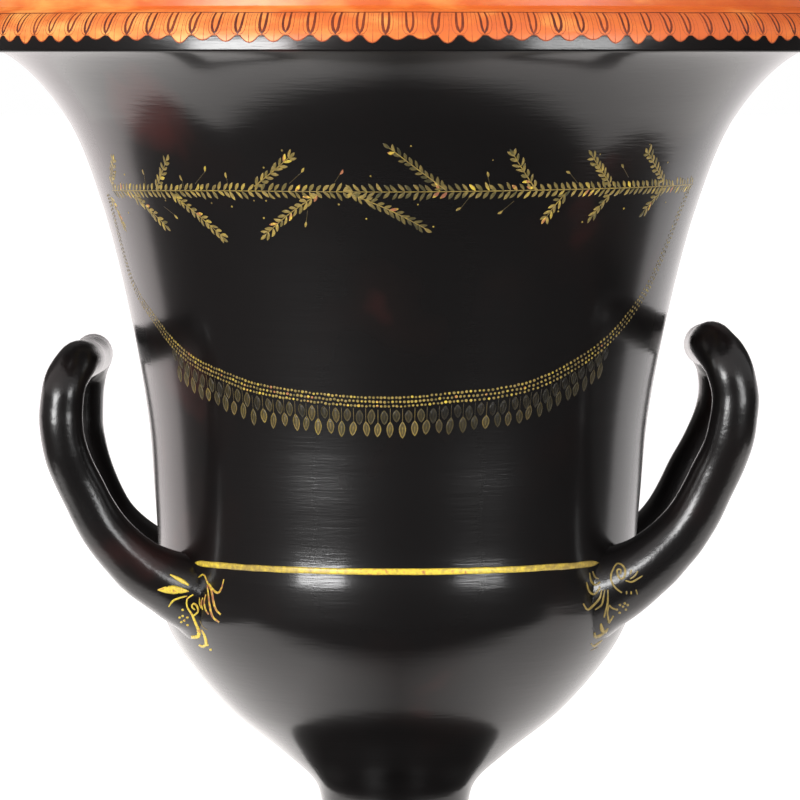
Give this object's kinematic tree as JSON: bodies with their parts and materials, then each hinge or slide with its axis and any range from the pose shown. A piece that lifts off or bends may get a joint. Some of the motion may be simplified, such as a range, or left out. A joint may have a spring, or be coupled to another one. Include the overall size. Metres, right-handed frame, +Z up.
{
  "type": "calyx krater, a painted ceramic copy",
  "caption": "Calyx krater about 30 cm tall: glossy black ceramic bowl on a low foot, two loop handles, orange lip, painted gold wreath and necklace.",
  "frame": {"origin": "on the table, under the middle of the mouth", "axes": "+Z up; +X towards the right handle as seen from the front; -Y is the front"},
  "size_m": [0.3234, 0.3234, 0.302],
  "materials": {
    "black_glaze": "gloss",
    "orange_slip": "satin",
    "brown_paint": "satin",
    "gold_paint": "satin"
  },
  "bodies": {
    "root": {"krater": "black_glaze"}
  },
  "joints": []
}
